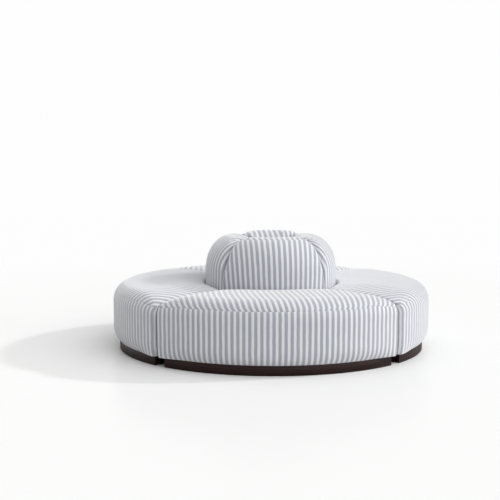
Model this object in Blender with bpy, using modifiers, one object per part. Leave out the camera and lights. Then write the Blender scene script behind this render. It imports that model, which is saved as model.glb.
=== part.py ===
"""Round sofa of four quarter modules, each with a seat, a quarter backrest and a recessed plinth.

The origin is on the floor under the centre of the round, +Z is up and the front module faces -Y.
Every piece is shaped once in the module's own frame, where the module's middle lies along +X and its
two ends lie against the planes at 45 degrees to either side, and is then turned into four places.
"""
import math
from collections import namedtuple

import bmesh
import bpy
from mathutils import Matrix, Vector

# Whole sofa
SEAT_RADIUS = 1.030
MODULE_GAP = 0.003
CLEARANCE = 0.0003
COVER_THICKNESS = 0.003

# Plinth
PLINTH_TOP = 0.060
PLINTH_BOARD = 0.022
PLINTH_SETBACK = 0.038
PLINTH_END_SETBACK = 0.0415

# Frame boards
PANEL_THICKNESS = 0.015
RAIL_THICKNESS = 0.015
RAIL_TOP = 0.300
FRAME_SETBACK = 0.042
PANEL_CORNER = 0.036
FRAME_END_SETBACK = 0.022
FRAME_HEEL_SETBACK = 0.022
BACK_FRAME_SETBACK = 0.030
BACK_FRAME_TOP = 0.580

# Belts under the seat foam
BELT_WIDTH = 0.050
BELT_THICKNESS = 0.0015
BELT_PITCH = 0.240

# Room between a foam skirt and the frame inside it
FOAM_ROOM = 0.003
FOAM_SKIRT_RISE = 0.004
# How much lower the foam's top edge is than its cover's, and how much flatter its crown is
FOAM_TOP_ROOM = 0.0015
FOAM_CROWN_ROOM = 0.003

# Seat block
SEAT_CORNER = 0.036
SEAT_TOP_CORNER = 0.060
SEAT_SIDE_LOW = 0.122
SEAT_SIDE_HIGH = 0.303
SEAT_EDGE_HEIGHT = 0.4185
SEAT_HEEL_HEIGHT = 0.4110
SEAT_CROWN_RISE = 0.020
SEAT_ROUND_WIDTH = 0.036
SEAT_END_ROUND_WIDTH = 0.020
SEAT_HEEL_ROUND_WIDTH = 0.010
SEAT_SHOULDER_WIDTH = 0.075
SEAT_END_SHOULDER_WIDTH = 0.030
SEAT_HEEL_SHOULDER_WIDTH = 0.030
HEM_WIDTH = 0.040

# Back block
BACK_FACE = 0.4275
BACK_FACE_RADIUS = 0.5255
BACK_CORE_RADIUS = 0.045
SEAT_TO_BACK = 0.0015
BACK_CORNER = 0.028
BACK_TOP_CORNER = 0.045
BACK_SIDE_LOW = 0.0753
BACK_SIDE_HIGH = 0.545
BACK_EDGE_HEIGHT = 0.733
BACK_CORE_HEIGHT = 0.690
BACK_CROWN_RISE = 0.012
BACK_ROUND_WIDTH = 0.010
BACK_SHOULDER_WIDTH = 0.171
BACK_END_SHOULDER_WIDTH = 0.026
BACK_CORE_SHOULDER_WIDTH = 0.030
BACK_HEM_WIDTH = 0.030

# Each pair is the share of a rounding's width and the share of its height
SEAT_ROUND_SHARES = ((1.0, 0.0), (0.39, 0.26), (0.0, 1.0))
SEAT_SHOULDER_SHARES = ((0.0, 0.0), (0.187, 0.515), (0.413, 0.78), (1.0, 1.0))
BACK_ROUND_SHARES = ((1.0, 0.0), (0.0, 1.0))
BACK_SHOULDER_SHARES = ((0.0, 0.0), (0.14, 0.42), (0.29, 0.66), (0.655, 0.92), (1.0, 1.0))

# Steps of the shapes
SEAT_ARC_STEPS = 11
BACK_ARC_STEPS = 8
SIDE_STEPS = 2
PLINTH_ARC_STEPS = 24
FRAME_ARC_STEPS = 10
BELT_COUNT = 3
CROSS_BELT_COUNT = 2

MODULES = (("front", -90.0), ("right", 0.0), ("rear", 90.0), ("left", 180.0))
HALF_SECTOR = math.radians(45.0)
SLANT = math.cos(HALF_SECTOR)

# Heights and centres that follow from the sizes above
END_GAP = MODULE_GAP / 2
UNDERSIDE = PLINTH_TOP + CLEARANCE
PANEL_BOTTOM = UNDERSIDE + COVER_THICKNESS + CLEARANCE
PANEL_TOP = PANEL_BOTTOM + PANEL_THICKNESS
SKIN = COVER_THICKNESS + CLEARANCE
FACE_CENTRE = BACK_FACE - BACK_FACE_RADIUS
HEEL_RADIUS = BACK_FACE_RADIUS + SEAT_TO_BACK

# A plan is the sector between an outer circle and an inner circle, both centred on the X axis
Plan = namedtuple("Plan", "centre radius inner_centre inner_radius arc_steps")
# A ring is that plan drawn in at the outer side, the ends and the inner side, at two heights
Ring = namedtuple("Ring", "outer end inner corner height inner_height")

SEAT_PLAN = Plan(0.0, SEAT_RADIUS, FACE_CENTRE, HEEL_RADIUS, SEAT_ARC_STEPS)
BACK_PLAN = Plan(FACE_CENTRE, BACK_FACE_RADIUS, 0.0, BACK_CORE_RADIUS, BACK_ARC_STEPS)


# Plan geometry

def from_end(along, off):
    """The point at a distance along the upper end plane and at a distance off it."""
    return Vector((SLANT * (along + off), SLANT * (along - off)))


def reach(centre, radius, off):
    """How far along the end plane a circle on the X axis lies, at a distance off the plane."""
    middle = SLANT * centre
    return middle + math.sqrt(middle ** 2 + radius ** 2 - off ** 2 - centre ** 2 + 2 * off * middle)


def arc(centre, radius, start, stop, steps):
    """Points from one angle to another on a circle on the X axis, both ends included."""
    angles = [start + (stop - start) * i / steps for i in range(steps + 1)]
    return [Vector((centre + radius * math.cos(a), radius * math.sin(a))) for a in angles]


def corner(centre, radius, off, rounding, turn):
    """The rounded upper corner: its point on the circle, its middle and its point on the end."""
    hub_along = reach(centre, radius - turn * rounding, off + rounding)
    hub = from_end(hub_along, off + rounding)
    outward = (hub - Vector((centre, 0.0))).normalized() * turn
    sideways = (from_end(hub_along, off) - hub).normalized()
    middle = (outward + sideways).normalized()
    return [hub + rounding * way for way in (outward, middle, sideways)]


def mirrored(points):
    """The points on the other side of the X axis."""
    return [Vector((p.x, -p.y)) for p in points]


def outline(plan, ring):
    """The four edges of a ring, each from corner middle to corner middle, going anticlockwise."""
    off = END_GAP + ring.end
    radius = plan.radius - ring.outer
    inner_radius = plan.inner_radius + ring.inner
    outer_corner = corner(plan.centre, radius, off, ring.corner, 1)
    inner_corner = corner(plan.inner_centre, inner_radius, off, ring.corner, -1)
    spread = math.atan2(outer_corner[0].y, outer_corner[0].x - plan.centre)
    inner_spread = math.atan2(inner_corner[0].y, inner_corner[0].x - plan.inner_centre)
    face = arc(plan.centre, radius, -spread, spread, plan.arc_steps)
    heel = arc(plan.inner_centre, inner_radius, inner_spread, -inner_spread, plan.arc_steps)
    start, stop = outer_corner[2], inner_corner[2]
    side = [start.lerp(stop, i / SIDE_STEPS) for i in range(SIDE_STEPS + 1)]
    upper_side = [outer_corner[1]] + side + [inner_corner[1]]
    outer_edge = mirrored([outer_corner[1]]) + face + [outer_corner[1]]
    inner_edge = [inner_corner[1]] + heel + mirrored([inner_corner[1]])
    lower_side = mirrored(upper_side)[::-1]
    return outer_edge, upper_side, inner_edge, lower_side


def run_shares(points):
    """How far along a run of points each point lies, from 0 to 1."""
    lengths = [0.0]
    for before, after in zip(points, points[1:]):
        lengths.append(lengths[-1] + (after - before).length)
    return [length / lengths[-1] for length in lengths]


# Upholstered blocks

def ring_points(plan, ring):
    """A ring's four edges as points in space, with the height running from outer side to inner."""
    outer_edge, upper_side, inner_edge, lower_side = outline(plan, ring)
    fall = ring.inner_height - ring.height
    sides = [[0.0] * len(outer_edge), run_shares(upper_side)]
    sides += [[1.0] * len(inner_edge), [1.0 - share for share in run_shares(lower_side)]]
    edges = []
    for edge, shares in zip((outer_edge, upper_side, inner_edge, lower_side), sides):
        edges.append([Vector((p.x, p.y, ring.height + fall * share)) for p, share in zip(edge, shares)])
    return edges


def crown_grid(edges, rise):
    """Points inside a ring, blended from its four edges and raised towards the middle."""
    outer_edge, upper_side = edges[0], edges[1]
    inner_edge, lower_side = edges[2][::-1], edges[3][::-1]
    across, inward = run_shares(outer_edge), run_shares(upper_side)
    rows = []
    for j, v in enumerate(inward):
        row = []
        for i, u in enumerate(across):
            point = outer_edge[i] * (1 - v) + inner_edge[i] * v
            point = point + lower_side[j] * (1 - u) + upper_side[j] * u
            point = point - (outer_edge[0] * (1 - u) + outer_edge[-1] * u) * (1 - v)
            point = point - (inner_edge[0] * (1 - u) + inner_edge[-1] * u) * v
            bulge = (1 - (2 * u - 1) ** 4) * (1 - (2 * v - 1) ** 2)
            row.append(point + Vector((0.0, 0.0, rise * bulge)))
        rows.append(row)
    return rows


def loft(name, plan, rings, rise, capped):
    """A mesh through the rings, closed by a crowned top, and by a flat face at its start if capped."""
    bm = bmesh.new()
    loops = []
    for ring in rings:
        edges = ring_points(plan, ring)
        loops.append([bm.verts.new(p) for edge in edges for p in edge[:-1]])
    for lower, upper in zip(loops, loops[1:]):
        for i in range(len(lower)):
            after = (i + 1) % len(lower)
            bm.faces.new((lower[i], lower[after], upper[after], upper[i]))
    if capped:
        bm.faces.new(reversed(loops[0]))
    rows = crown_grid(edges, rise)
    last_row, last_column = len(rows) - 1, len(rows[0]) - 1
    border = loops[-1]
    grid = []
    for j, row in enumerate(rows):
        grid_row = []
        for i, point in enumerate(row):
            if j == 0:
                vert = border[i]
            elif i == last_column:
                vert = border[last_column + j]
            elif j == last_row:
                vert = border[last_column + last_row + last_column - i]
            elif i == 0:
                vert = border[2 * last_column + 2 * last_row - j]
            else:
                vert = bm.verts.new(point)
            grid_row.append(vert)
        grid.append(grid_row)
    for near, far in zip(grid, grid[1:]):
        for i in range(last_column):
            bm.faces.new((near[i], near[i + 1], far[i + 1], far[i]))
    mesh = bpy.data.meshes.new(name)
    bm.to_mesh(mesh)
    bm.free()
    mesh.shade_smooth()
    mesh.set_sharp_from_angle(angle=math.radians(50.0))
    return mesh


def seat_shoulder(skin, room):
    """The rings from the seat's side to the edge of its top, skin deep and lowered by room at the top."""
    rings = []
    for width, height in SEAT_SHOULDER_SHARES:
        rings.append(Ring(
            SEAT_SHOULDER_WIDTH * width + skin,
            SEAT_END_SHOULDER_WIDTH * width + skin,
            SEAT_HEEL_SHOULDER_WIDTH * width + skin,
            SEAT_CORNER + (SEAT_TOP_CORNER - SEAT_CORNER) * width,
            SEAT_SIDE_HIGH + (SEAT_EDGE_HEIGHT - SEAT_SIDE_HIGH - room) * height - skin,
            SEAT_SIDE_HIGH + (SEAT_HEEL_HEIGHT - SEAT_SIDE_HIGH - room) * height - skin))
    return rings


def back_shoulder(skin, room):
    """The rings from the back's side to the edge of its top, skin deep and lowered by room at the top."""
    rings = []
    for width, height in BACK_SHOULDER_SHARES:
        rings.append(Ring(
            BACK_SHOULDER_WIDTH * width + skin,
            BACK_END_SHOULDER_WIDTH * width + skin,
            BACK_CORE_SHOULDER_WIDTH * width + skin,
            BACK_CORNER + (BACK_TOP_CORNER - BACK_CORNER) * width,
            BACK_SIDE_HIGH + (BACK_EDGE_HEIGHT - BACK_SIDE_HIGH - room) * height - skin,
            BACK_SIDE_HIGH + (BACK_CORE_HEIGHT - BACK_SIDE_HIGH - room) * height - skin))
    return rings


def level_ring(outer, end, inner, rounding, height):
    """A ring at one height."""
    return Ring(outer, end, inner, rounding, height, height)


def seat_cover():
    """The seat's cover: a hem under the frame, the rounded lower edge, the side and the top."""
    hem = level_ring(SEAT_ROUND_WIDTH + HEM_WIDTH, SEAT_END_ROUND_WIDTH + HEM_WIDTH,
                     SEAT_HEEL_ROUND_WIDTH + HEM_WIDTH, SEAT_CORNER, UNDERSIDE)
    rings = [hem]
    for width, height in SEAT_ROUND_SHARES:
        rings.append(level_ring(SEAT_ROUND_WIDTH * width, SEAT_END_ROUND_WIDTH * width,
                                SEAT_HEEL_ROUND_WIDTH * width, SEAT_CORNER,
                                UNDERSIDE + (SEAT_SIDE_LOW - UNDERSIDE) * height))
    return loft("seat_cover", SEAT_PLAN, rings + seat_shoulder(0.0, 0.0), SEAT_CROWN_RISE, False)


def back_cover():
    """The back's cover: a hem under the frame, the tall face, the ends, the core side and the top."""
    hem = level_ring(BACK_ROUND_WIDTH + BACK_HEM_WIDTH, BACK_ROUND_WIDTH + BACK_HEM_WIDTH,
                     BACK_ROUND_WIDTH + BACK_HEM_WIDTH, BACK_CORNER, UNDERSIDE)
    rings = [hem]
    for width, height in BACK_ROUND_SHARES:
        inset = BACK_ROUND_WIDTH * width
        rings.append(level_ring(inset, inset, inset, BACK_CORNER,
                                UNDERSIDE + (BACK_SIDE_LOW - UNDERSIDE) * height))
    return loft("back_cover", BACK_PLAN, rings + back_shoulder(0.0, 0.0), BACK_CROWN_RISE, False)


def seat_foam():
    """The seat's foam: thick on the belts, with a skirt down the side, the ends and the heel."""
    roof = RAIL_TOP + BELT_THICKNESS + 2 * CLEARANCE
    skirt = PANEL_TOP + FOAM_SKIRT_RISE
    cavity = (FRAME_SETBACK - FOAM_ROOM, FRAME_END_SETBACK - FOAM_ROOM,
              FRAME_HEEL_SETBACK - FOAM_ROOM, FOAM_ROOM)
    width = SEAT_ROUND_SHARES[1][0]
    foot = level_ring(SEAT_ROUND_WIDTH * width + SKIN, SEAT_END_ROUND_WIDTH * width + SKIN,
                      SEAT_HEEL_ROUND_WIDTH * width + SKIN, SEAT_CORNER, skirt)
    rings = [level_ring(*cavity, roof), level_ring(*cavity, skirt), foot]
    rings += seat_shoulder(SKIN, FOAM_TOP_ROOM)
    return loft("seat_foam", SEAT_PLAN, rings, SEAT_CROWN_RISE - FOAM_CROWN_ROOM, True)


def back_foam():
    """The back's foam: a thick cap with a skirt down the face, the ends and the core side."""
    roof = BACK_FRAME_TOP + CLEARANCE
    skirt = PANEL_TOP + FOAM_SKIRT_RISE
    cavity = (BACK_FRAME_SETBACK - FOAM_ROOM, FRAME_END_SETBACK - FOAM_ROOM,
              FRAME_HEEL_SETBACK - FOAM_ROOM, FOAM_ROOM)
    foot = level_ring(SKIN, SKIN, SKIN, BACK_CORNER, skirt)
    rings = [level_ring(*cavity, roof), level_ring(*cavity, skirt), foot]
    rings += back_shoulder(SKIN, FOAM_TOP_ROOM)
    return loft("back_foam", BACK_PLAN, rings, BACK_CROWN_RISE - FOAM_CROWN_ROOM, True)


# Boards

def board(name, points, low, high):
    """A board cut to a closed outline, from one height to another."""
    curve = bpy.data.curves.new(name, "CURVE")
    curve.dimensions = "2D"
    curve.fill_mode = "BOTH"
    curve.extrude = (high - low) / 2
    spline = curve.splines.new("POLY")
    spline.points.add(len(points) - 1)
    for spot, p in zip(spline.points, points):
        spot.co = (p.x, p.y, 0.0, 1.0)
    spline.use_cyclic_u = True
    return curve, (low + high) / 2


def end_angle(centre, radius, off):
    """The angle about a circle's centre at which it reaches a line off the end plane."""
    point = from_end(reach(centre, radius, off), off)
    return math.atan2(point.y, point.x - centre)


def bent_outline(centre, radius, thickness, off, steps):
    """The outline of a bent board of a thickness inside a circle, cut parallel to the ends."""
    outer_end = end_angle(centre, radius, off)
    inner_end = end_angle(centre, radius - thickness, off)
    outer = arc(centre, radius, -outer_end, outer_end, steps)
    inner = arc(centre, radius - thickness, inner_end, -inner_end, steps)
    return outer + inner


def panel_outline(plan, outer_setback, end_setback, inner_setback):
    """The outline of a base panel inside a plan."""
    edges = outline(plan, level_ring(outer_setback, end_setback, inner_setback, PANEL_CORNER, 0.0))
    return [point for edge in edges for point in edge[:-1]]


def straight_outline(off, thickness, start, stop):
    """The outline of a straight board along the upper end, from start to stop along it."""
    corners = ((start, off + thickness), (stop, off + thickness), (stop, off), (start, off))
    return [from_end(along, distance) for along, distance in corners]


def inside_reach(centre, radius, off, steps):
    """How far a board may run along the end before it meets a faceted circle from inside."""
    half_step = end_angle(centre, radius, off) / steps
    return reach(centre, radius * math.cos(half_step) - CLEARANCE, off)


def plinth_boards():
    """The plinth: a bent board at the front and two along the ends, mitred where they meet."""
    radius = SEAT_RADIUS - PLINTH_SETBACK
    inner_face = PLINTH_END_SETBACK + PLINTH_BOARD
    stop = inside_reach(0.0, radius - PLINTH_BOARD, inner_face, PLINTH_ARC_STEPS)
    mitre = CLEARANCE / (2 * SLANT)
    right = [
        from_end(inner_face + mitre, inner_face),
        from_end(stop, inner_face),
        from_end(stop, PLINTH_END_SETBACK),
        from_end(PLINTH_END_SETBACK + mitre, PLINTH_END_SETBACK),
    ]
    front = bent_outline(0.0, radius, PLINTH_BOARD, PLINTH_END_SETBACK, PLINTH_ARC_STEPS)
    return {
        "plinth_front_board": board("plinth_front_board", front, 0.0, PLINTH_TOP),
        "plinth_right_board": board("plinth_right_board", right, 0.0, PLINTH_TOP),
        "plinth_left_board": board("plinth_left_board", mirrored(right)[::-1], 0.0, PLINTH_TOP),
    }


def seat_frame_boards():
    """The seat's base panel and the four rails that stand on it."""
    low = PANEL_TOP + CLEARANCE
    off = END_GAP + FRAME_END_SETBACK
    radius = SEAT_RADIUS - FRAME_SETBACK
    heel_radius = HEEL_RADIUS + FRAME_HEEL_SETBACK + RAIL_THICKNESS
    stop = inside_reach(0.0, radius - RAIL_THICKNESS, off + RAIL_THICKNESS, FRAME_ARC_STEPS)
    start = reach(FACE_CENTRE, heel_radius + CLEARANCE, off)
    panel = panel_outline(SEAT_PLAN, FRAME_SETBACK, FRAME_END_SETBACK, FRAME_HEEL_SETBACK)
    outer = bent_outline(0.0, radius, RAIL_THICKNESS, off, FRAME_ARC_STEPS)
    inner = bent_outline(FACE_CENTRE, heel_radius, RAIL_THICKNESS, off, FRAME_ARC_STEPS)
    right = straight_outline(off, RAIL_THICKNESS, start, stop)
    return {
        "seat_base_panel": board("seat_base_panel", panel, PANEL_BOTTOM, PANEL_TOP),
        "outer_rail": board("outer_rail", outer, low, RAIL_TOP),
        "inner_rail": board("inner_rail", inner, low, RAIL_TOP),
        "right_rail": board("right_rail", right, low, RAIL_TOP),
        "left_rail": board("left_rail", mirrored(right)[::-1], low, RAIL_TOP),
    }


def back_frame_boards():
    """The back's base panel and its frame, a bent face board glued to a rib along each end."""
    off = END_GAP + FRAME_END_SETBACK
    inner_off = off + RAIL_THICKNESS
    radius = BACK_FACE_RADIUS - BACK_FRAME_SETBACK
    inner_radius = radius - RAIL_THICKNESS
    core = reach(0.0, BACK_CORE_RADIUS + FRAME_HEEL_SETBACK, off)
    outer_end = end_angle(FACE_CENTRE, radius, off)
    inner_end = end_angle(FACE_CENTRE, inner_radius, inner_off)
    frame = mirrored([from_end(core, off)])
    frame += arc(FACE_CENTRE, radius, -outer_end, outer_end, FRAME_ARC_STEPS)
    frame += [from_end(core, off), from_end(core, inner_off)]
    frame += arc(FACE_CENTRE, inner_radius, inner_end, -inner_end, FRAME_ARC_STEPS)
    frame += mirrored([from_end(core, inner_off)])
    panel = panel_outline(BACK_PLAN, BACK_FRAME_SETBACK, FRAME_END_SETBACK, FRAME_HEEL_SETBACK)
    return {
        "back_base_panel": board("back_base_panel", panel, PANEL_BOTTOM, PANEL_TOP),
        "back_frame": board("back_frame", frame, PANEL_TOP + CLEARANCE, BACK_FRAME_TOP),
    }


# Belts

def box_mesh(name, spans):
    """Boxes, each between two places on each axis."""
    bm = bmesh.new()
    for box in spans:
        size = [high - low for low, high in box]
        middle = [(low + high) / 2 for low, high in box]
        cube = bmesh.ops.create_cube(bm, size=1.0)
        stretch = Matrix.Diagonal((*size, 1.0))
        bmesh.ops.transform(bm, matrix=Matrix.Translation(middle) @ stretch, verts=cube["verts"])
    mesh = bpy.data.meshes.new(name)
    bm.to_mesh(mesh)
    bm.free()
    return mesh


def seat_webbing():
    """Belts along the module and across it, on top of the rails and sewn where they cross."""
    low = RAIL_TOP + CLEARANCE
    z_span = (low, low + BELT_THICKNESS)
    half_belt = BELT_WIDTH / 2
    rail_radius = SEAT_RADIUS - FRAME_SETBACK - RAIL_THICKNESS / 2
    heel_radius = HEEL_RADIUS + FRAME_HEEL_SETBACK
    heel = FACE_CENTRE + heel_radius
    along, across = [], []
    for i in range(BELT_COUNT):
        y = BELT_PITCH * (i - (BELT_COUNT - 1) / 2)
        start = FACE_CENTRE + math.sqrt(heel_radius ** 2 - (abs(y) - half_belt) ** 2)
        stop = math.sqrt(rail_radius ** 2 - (abs(y) + half_belt) ** 2)
        along.append(((start, stop), (y - half_belt, y + half_belt), z_span))
    for i in range(CROSS_BELT_COUNT):
        x = heel + (rail_radius - heel) * (i + 1) / (CROSS_BELT_COUNT + 1)
        at_end = x - half_belt - (END_GAP + FRAME_END_SETBACK) / SLANT
        at_rail = math.sqrt(rail_radius ** 2 - (x + half_belt) ** 2)
        half = min(at_end, at_rail)
        across.append(((x - half_belt, x + half_belt), (-half, half), z_span))
    base = bpy.data.objects.new("seat_webbing_along", box_mesh("seat_webbing_along", along))
    other = bpy.data.objects.new("seat_webbing_across", box_mesh("seat_webbing_across", across))
    for obj in (base, other):
        bpy.context.scene.collection.objects.link(obj)
    union = base.modifiers.new("sewn crossings", "BOOLEAN")
    union.operation = "UNION"
    union.object = other
    graph = bpy.context.evaluated_depsgraph_get()
    mesh = bpy.data.meshes.new_from_object(base.evaluated_get(graph))
    mesh.name = "seat_webbing"
    for obj in (base, other):
        bpy.data.objects.remove(obj, do_unlink=True)
    return mesh


# Materials

def material(name, colour, roughness):
    """A plain surface."""
    made = bpy.data.materials.new(name)
    made.use_nodes = True
    shader = made.node_tree.nodes["Principled BSDF"]
    shader.inputs["Base Color"].default_value = (*colour, 1.0)
    shader.inputs["Roughness"].default_value = roughness
    made.diffuse_color = (*colour, 1.0)
    return made


# Name, colour and roughness of each piece's own material
FINISHES = {
    "seat_cover": ((0.62, 0.66, 0.73), 0.90),
    "back_cover": ((0.58, 0.62, 0.70), 0.90),
    "seat_foam": ((0.85, 0.82, 0.70), 0.95),
    "back_foam": ((0.85, 0.82, 0.70), 0.95),
    "seat_webbing": ((0.03, 0.03, 0.03), 0.80),
    "plinth_front_board": ((0.035, 0.022, 0.020), 0.40),
    "plinth_right_board": ((0.030, 0.019, 0.017), 0.45),
    "plinth_left_board": ((0.030, 0.019, 0.017), 0.45),
    "seat_base_panel": ((0.60, 0.45, 0.28), 0.70),
    "back_base_panel": ((0.60, 0.45, 0.28), 0.70),
    "outer_rail": ((0.64, 0.48, 0.30), 0.70),
    "inner_rail": ((0.64, 0.48, 0.30), 0.70),
    "right_rail": ((0.62, 0.47, 0.30), 0.70),
    "left_rail": ((0.62, 0.47, 0.30), 0.70),
    "back_frame": ((0.64, 0.48, 0.30), 0.70),
}


# Assembly

def clear_scene():
    """Take away whatever the file holds."""
    for obj in list(bpy.data.objects):
        bpy.data.objects.remove(obj, do_unlink=True)


def all_pieces():
    """Every piece of one module by name, with the height that its data is placed at."""
    pieces = {
        "seat_cover": (seat_cover(), 0.0),
        "back_cover": (back_cover(), 0.0),
        "seat_foam": (seat_foam(), 0.0),
        "back_foam": (back_foam(), 0.0),
        "seat_webbing": (seat_webbing(), 0.0),
    }
    pieces.update(plinth_boards())
    pieces.update(seat_frame_boards())
    pieces.update(back_frame_boards())
    return pieces


def build():
    """The four modules, each on an empty that is turned into its place."""
    clear_scene()
    collection = bpy.data.collections.new("round_sofa")
    bpy.context.scene.collection.children.link(collection)
    pieces = all_pieces()
    for piece, (data, height) in pieces.items():
        data.materials.append(material(piece, *FINISHES[piece]))
    for module, angle in MODULES:
        pivot = bpy.data.objects.new(module + "_module", None)
        pivot.rotation_euler = (0.0, 0.0, math.radians(angle))
        collection.objects.link(pivot)
        for piece, (data, height) in pieces.items():
            obj = bpy.data.objects.new(module + "_" + piece, data)
            obj.location = (0.0, 0.0, height)
            obj.parent = pivot
            collection.objects.link(obj)
            if piece in ("seat_cover", "back_cover"):
                shell = obj.modifiers.new("cloth thickness", "SOLIDIFY")
                shell.thickness = COVER_THICKNESS
                shell.offset = -1.0
                shell.use_even_offset = True
                shell.use_rim = True


build()
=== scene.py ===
"""Looks of the round sofa: striped upholstery, stained plinths, pale floor, camera and lights.

A module's pieces are shaped in one frame, where its middle lies along +X and its two ends lie against the
planes at 45 degrees to either side, and are then turned into the module's place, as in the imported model.
"""

import math
from collections import namedtuple

import bpy
import numpy as np
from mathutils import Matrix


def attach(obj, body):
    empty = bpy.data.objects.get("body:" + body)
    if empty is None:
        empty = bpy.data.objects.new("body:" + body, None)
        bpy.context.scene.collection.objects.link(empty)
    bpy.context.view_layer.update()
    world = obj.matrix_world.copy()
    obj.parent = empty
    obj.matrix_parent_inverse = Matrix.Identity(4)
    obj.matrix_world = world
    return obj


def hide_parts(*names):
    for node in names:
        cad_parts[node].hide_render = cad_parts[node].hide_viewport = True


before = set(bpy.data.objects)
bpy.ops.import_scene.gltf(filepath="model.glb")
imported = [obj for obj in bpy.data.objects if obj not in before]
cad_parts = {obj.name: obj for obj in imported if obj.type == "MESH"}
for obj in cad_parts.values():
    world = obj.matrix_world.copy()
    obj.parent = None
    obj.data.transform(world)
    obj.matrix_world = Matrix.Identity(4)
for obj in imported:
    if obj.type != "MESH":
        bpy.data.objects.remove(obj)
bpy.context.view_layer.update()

# A plan is the sector between an outer circle and an inner circle, both centred on the X axis
Plan = namedtuple("Plan", "centre radius inner_centre inner_radius face_steps side_steps")
# A ring is that plan drawn in at the outer side, the ends and the inner side, with the radii of its corners
# outside and inside, and its heights there
Ring = namedtuple("Ring", "outer end inner corner inner_corner height inner_height")
# A block is a plan with its rings from the hem up, the numbers of its foot's and its side's last rings and of
# its seam's ring, the swell of its top, and the strays of the stripes on its side and its top
Block = namedtuple("Block", "plan rings foot_ring shoulder_ring seam_ring swell side_stray top_stray")
# A fit is what differs from module to module: where the side's stripes start, the seed of the seam's puckers,
# the lifts and draws of the two ends, and the dip at the core
Fit = namedtuple("Fit", "stripe_start seed lifts draws dip")
# A rounded edge: the height where it starts to draw in, how far it draws in, and its fullness
Edge = namedtuple("Edge", "low width power")
# The swell of a top: its rise in the middle and at the ends, how far in from the outer and inner sides that
# is full, how much lower than the middle the ends lie outside and inside, and how far from the ends that is
Swell = namedtuple("Swell", "rise end_rise face_reach heel_reach outer_fall inner_fall outer_far inner_far")
# How a panel's stripes stray sideways: by a shift, with the run across, with the way up or inwards, with both
# together, with the square of the run across, and with the square of the way beyond a place
Stray = namedtuple("Stray", "shift along up fan bend bow bow_start")
# The noise of a material: its scale, its detail and how it is stretched
Pattern = namedtuple("Pattern", "scale detail stretch", defaults=(None,))
# The relief of a material's bump: its height and its strength
Relief = namedtuple("Relief", "distance strength")

# Whole sofa: its modules with their turns about the core, and what they share
MODULES = (("front", -90.0), ("right", 0.0), ("rear", 90.0), ("left", 180.0))
HALF_SECTOR = math.radians(45.0)
SLANT = math.cos(HALF_SECTOR)
SEAT_RADIUS = 1.030
MODULE_GAP = 0.003
END_GAP = MODULE_GAP / 2
PLINTH_TOP = 0.060
COVER_UNDERSIDE = 0.0604
CLOTH_THICKNESS = 0.0025

# Seat block
SEAT_SIDE_HIGH = 0.307
SEAT_EDGE_HEIGHT = 0.3997
SEAT_HEEL_HEIGHT = 0.4056
# Height and depth of the rounding under the outer side, the ends and the inner side
SEAT_FEET = ((0.090, 0.036), (0.045, 0.012), (0.020, 0.010))
SEAT_EDGES = (Edge(0.307, 0.121, 2.19), Edge(0.3778, 0.0507, 1.94), Edge(0.307, 0.030, 2.19))
SEAT_SEAM_DEGREES = 30.0
SEAT_SWELL = Swell(0.0162, 0.0047, 0.273, 0.2237, 0.0278, 0.0106, 0.207, 0.1825)
# Radius of the seat's outer and inner corners at heights up its side
SEAT_CORNERS = ((0.307, 0.028, 0.020), (0.367, 0.028, 0.033), (0.3997, 0.111, 0.040))
# How much higher each seat's ends stand at its left and right, seen from outside
SEAT_LIFTS = {"front": (0.0, 0.0), "right": (0.0, 0.023), "rear": (0.023, 0.034), "left": (0.034, 0.0)}
# How far each seat's ends are drawn in beside its left and right outer corners, seen from outside, and how
# far in from the end and from the outer side that is felt
SEAT_DRAWS = {"front": (0.006, 0.018), "right": (0.0, 0.012), "rear": (0.012, 0.012), "left": (0.012, 0.012)}
DRAW_WIDTH = 0.080
DRAW_REACH = 0.220
SEAT_SEED = 3

# Back block
BACK_FACE = 0.4275
BACK_FACE_RADIUS = 0.5255
BACK_CORE_RADIUS = 0.028
SEAT_TO_BACK = 0.0015
BACK_SIDE_HIGH = 0.502
BACK_EDGE_HEIGHT = 0.7325
BACK_CORE_HEIGHT = 0.694
BACK_FEET = ((0.015, 0.010), (0.015, 0.010), (0.015, 0.010))
BACK_EDGES = (Edge(0.502, 0.221, 2.20), Edge(0.502, 0.020, 2.20), Edge(0.502, 0.012, 2.20))
BACK_SEAM_DEGREES = 64.0
BACK_SWELL = Swell(0.0035, 0.0, 0.120, 0.120, 0.0, 0.0, 0.120, 0.120)
# Radius of the back's outer and inner corners at heights up its side
BACK_CORNERS = ((0.430, 0.004, 0.010), (0.488, 0.009, 0.010), (0.522, 0.020, 0.010), (0.555, 0.031, 0.010),
                (0.588, 0.0375, 0.010), (0.624, 0.038, 0.010), (0.670, 0.032, 0.010), (0.698, 0.040, 0.010),
                (0.7325, 0.050, 0.010))
# How much higher each back's ends stand at its left and right, seen from outside
BACK_LIFTS = {"front": (0.0, 0.0), "right": (0.0, 0.0), "rear": (0.0, -0.018), "left": (0.0, 0.0)}
# How far each back's top dips at the core of the sofa, and how far out that is felt
BACK_DIPS = {"front": (0.055, 0.30), "right": (0.050, 0.33), "rear": (0.055, 0.20), "left": (0.055, 0.33)}
BACK_SEED = 7

# Ends that aren't drawn in, and a top that doesn't dip
NO_DRAWS = (0.0, 0.0)
NO_DIP = (0.0, 1.0)

# Hems under the blocks, and how much of a quarter round their lower edges make
HEM_WIDTH = 0.030
FOOT_TURN_SHARE = 0.85
# How much of its place on the side each stripe keeps at the foot, in the middle and at the ends
GATHER_SHARES = (0.40, 0.80)
# How much of the foot's rounding is missing at the corners, and how far from the ends it is back
FOOT_CORNER_SHARE = 0.80
FOOT_CORNER_REACH = 0.220

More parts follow.
